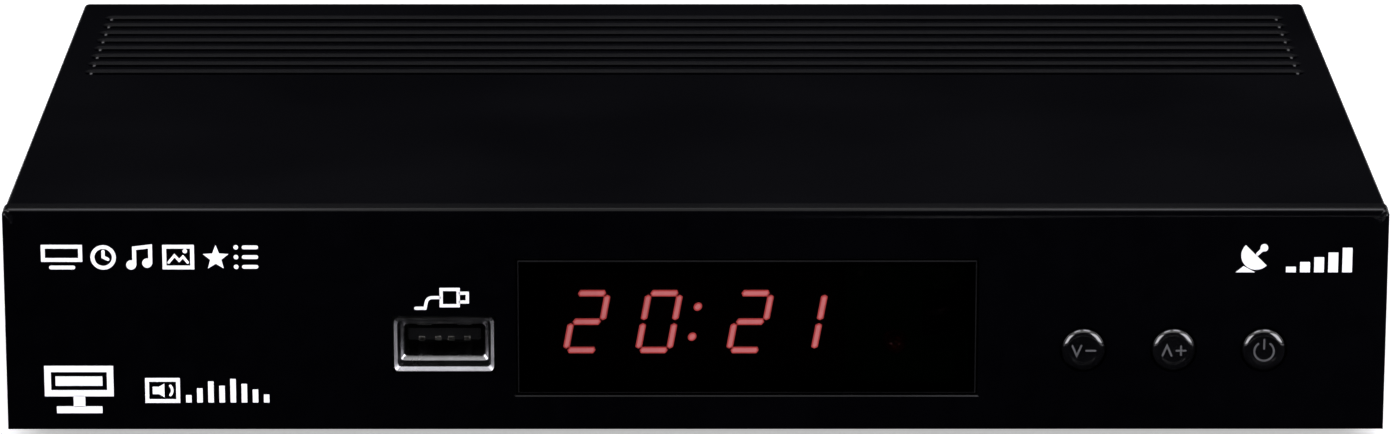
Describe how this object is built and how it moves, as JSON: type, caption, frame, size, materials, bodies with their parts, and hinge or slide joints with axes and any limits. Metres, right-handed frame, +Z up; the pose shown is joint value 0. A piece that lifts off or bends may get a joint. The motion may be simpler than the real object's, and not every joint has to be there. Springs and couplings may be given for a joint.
{
  "type": "satellite television receiver",
  "caption": "Flat black set-top box with a clock display behind a smoked window, a front USB socket, push buttons, a grooved ventilated cover and rear aerial and video sockets.",
  "frame": {"origin": "centre of the footprint, on the surface that the feet stand on", "axes": "+X to the right along the front panel, +Y from the front panel to the back, +Z up"},
  "size_m": [0.212, 0.1456, 0.0374],
  "materials": {
    "bezel_gloss": "high-gloss black moulding",
    "shell_satin": "fine-grained satin black moulding",
    "smoked_window": "polished smoked acrylic",
    "button_gloss": "glossy black moulding",
    "display_housing": "black potting with red light bars",
    "lens_dark": "dark infrared lens",
    "lamp_red": "clear red lens",
    "circuit_board": "green solder mask",
    "socket_steel": "bright plated sheet",
    "galvanised_steel": "galvanised sheet",
    "nickel_plate": "nickel plate",
    "socket_black": "moulded black",
    "switch_black": "moulded black",
    "connector_cream": "natural nylon",
    "jack_orange": "moulded orange",
    "chip_black": "moulded epoxy",
    "sink_aluminium": "extruded, clear anodised",
    "can_sleeve": "shrunk sleeve",
    "ferrite": "pressed ferrite",
    "ribbon_grey": "flat cable sheath",
    "foot_rubber": "moulded",
    "screw_zinc": "zinc plate"
  },
  "bodies": {
    "receiver": {"front_bezel": "bezel_gloss", "display_window": "smoked_window", "digit_module": "display_housing", "ir_receiver": "lens_dark", "standby_led": "lamp_red", "tact_switch_down": "switch_black", "tact_switch_up": "switch_black", "tact_switch_power": "switch_black", "front_board": "circuit_board", "front_board_screw_1": "screw_zinc", "front_board_screw_2": "screw_zinc", "front_ribbon": "ribbon_grey", "ribbon_socket_front": "connector_cream", "ribbon_socket_main": "connector_cream", "usb_shell": "socket_steel", "usb_tongue": "socket_black", "top_cover": "shell_satin", "base_tray": "shell_satin", "rear_panel": "galvanised_steel", "main_board": "circuit_board", "board_screw_1": "screw_zinc", "board_screw_2": "screw_zinc", "board_screw_3": "screw_zinc", "board_screw_4": "screw_zinc", "tuner_can": "galvanised_steel", "f_connector_in": "nickel_plate", "f_connector_out": "nickel_plate", "f_nut_in": "nickel_plate", "f_nut_out": "nickel_plate", "hdmi_shell": "socket_steel", "hdmi_tongue": "socket_black", "scart_socket": "socket_black", "digital_audio_jack": "jack_orange", "dc_jack": "socket_black", "card_reader": "galvanised_steel", "processor": "chip_black", "heat_sink": "sink_aluminium", "memory_chip_1": "chip_black", "memory_chip_2": "chip_black", "flash_chip": "chip_black", "capacitor_1": "can_sleeve", "capacitor_2": "can_sleeve", "capacitor_3": "can_sleeve", "power_inductor": "ferrite", "crystal": "nickel_plate", "cover_screw_1": "screw_zinc", "cover_screw_2": "screw_zinc", "cover_screw_3": "screw_zinc", "cover_screw_4": "screw_zinc", "foot_front_left": "foot_rubber", "foot_front_right": "foot_rubber", "foot_rear_left": "foot_rubber", "foot_rear_right": "foot_rubber"},
    "down_button": {"button_down": "button_gloss", "tact_plunger_down": "connector_cream"},
    "up_button": {"button_up": "button_gloss", "tact_plunger_up": "connector_cream"},
    "power_button": {"button_power": "button_gloss", "tact_plunger_power": "connector_cream"}
  },
  "joints": [
    {"name": "down_button_press", "type": "slide", "parent": "receiver", "child": "down_button", "axis": [0, 1, 0], "range_m": [0, 0.0005], "stiffness_N_per_m": 1500},
    {"name": "up_button_press", "type": "slide", "parent": "receiver", "child": "up_button", "axis": [0, 1, 0], "range_m": [0, 0.0005], "stiffness_N_per_m": 1500},
    {"name": "power_button_press", "type": "slide", "parent": "receiver", "child": "power_button", "axis": [0, 1, 0], "range_m": [0, 0.0005], "stiffness_N_per_m": 1500}
  ]
}
